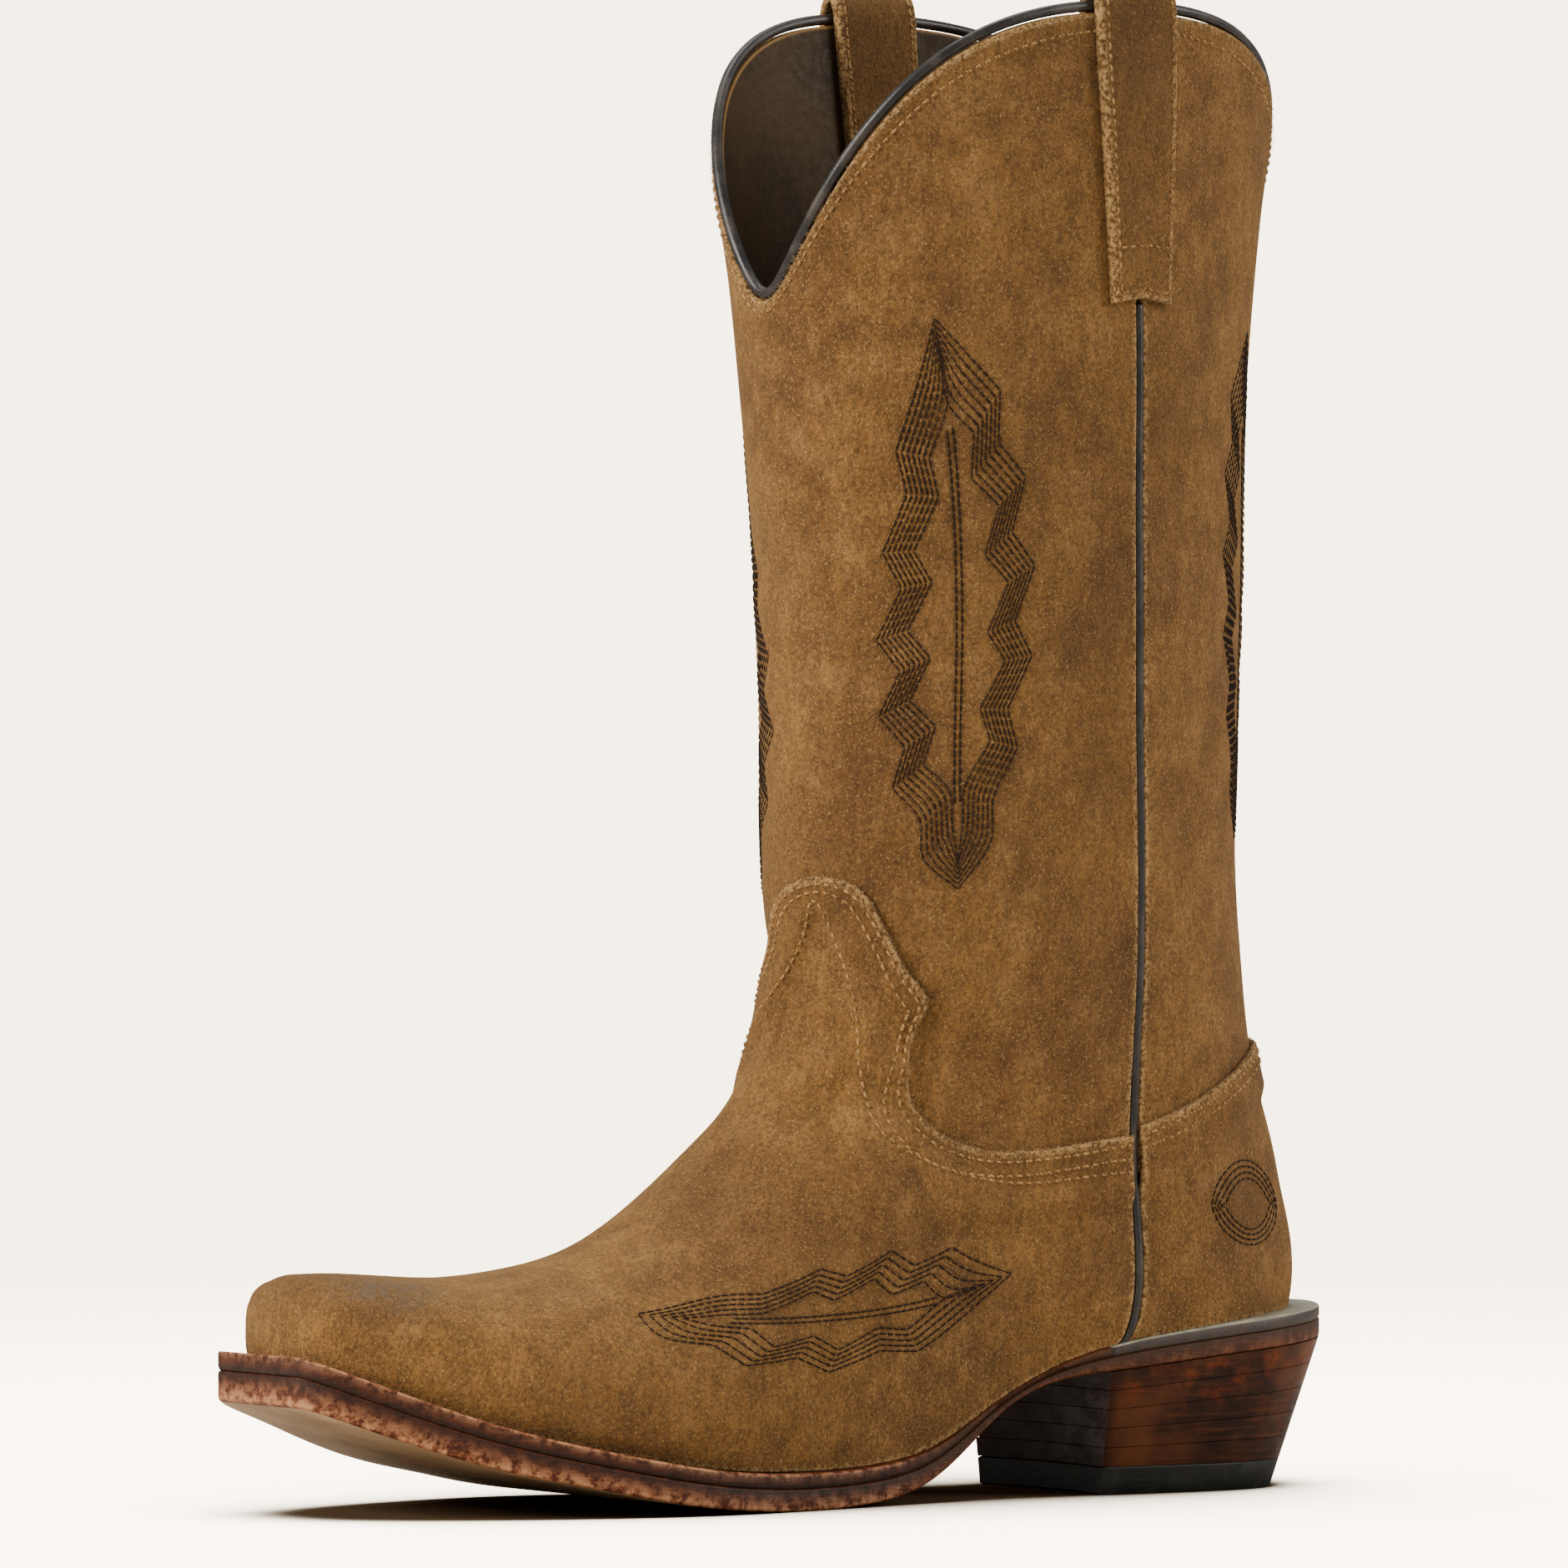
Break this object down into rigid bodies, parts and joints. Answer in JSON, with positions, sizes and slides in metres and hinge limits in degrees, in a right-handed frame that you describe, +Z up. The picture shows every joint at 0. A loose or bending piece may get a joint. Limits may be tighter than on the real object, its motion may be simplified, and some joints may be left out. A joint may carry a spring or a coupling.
{
  "type": "cowboy boot",
  "caption": "Left suede cowboy boot with a scalloped shaft, pull straps, square snip toe, welted leather sole and underslung stacked heel; worn on the foot.",
  "frame": {"origin": "centre of the bounding box, on the floor the boot stands on", "axes": "+Z up the shaft, -Y towards the toe, +X towards the outer side of the left foot"},
  "size_m": [0.109, 0.3, 0.3765],
  "materials": {
    "suede": "roughout nap",
    "lining": "smooth, dark",
    "dark_trim": "polished, dark",
    "stiffener": "board",
    "edge": "waxed edge",
    "rand": "waxed edge",
    "sole": "smooth",
    "stack": "stacked, waxed",
    "insole": "board",
    "footbed": "padded",
    "cork": "cork",
    "top_lift": "matt",
    "steel": "plain",
    "brass": "plain"
  },
  "bodies": {
    "root": {"vamp": "suede", "counter_cover": "suede", "shaft_front": "suede", "shaft_back": "suede", "shaft_lining_front": "lining", "shaft_lining_back": "lining", "vamp_lining": "lining", "toe_box": "stiffener", "counter_stiffener": "stiffener", "piping_lateral": "dark_trim", "piping_medial": "dark_trim", "topline_bead_front": "dark_trim", "topline_bead_back": "dark_trim", "pull_strap_lateral": "suede", "pull_strap_medial": "suede", "insole": "insole", "footbed": "footbed", "cork_filler": "cork", "shank": "steel", "welt": "edge", "heel_rand": "rand", "outsole": "sole", "top_lift": "top_lift", "heel_lift_1": "stack", "heel_nail_1": "steel", "heel_lift_2": "stack", "heel_nail_2": "steel", "heel_lift_3": "stack", "heel_nail_3": "steel", "heel_lift_4": "stack", "heel_nail_4": "steel", "heel_lift_5": "stack", "heel_nail_5": "steel", "lift_nail_1": "brass", "lift_nail_2": "brass", "lift_nail_3": "brass", "lift_nail_4": "brass", "lift_nail_5": "brass", "lift_nail_6": "brass"}
  },
  "joints": []
}
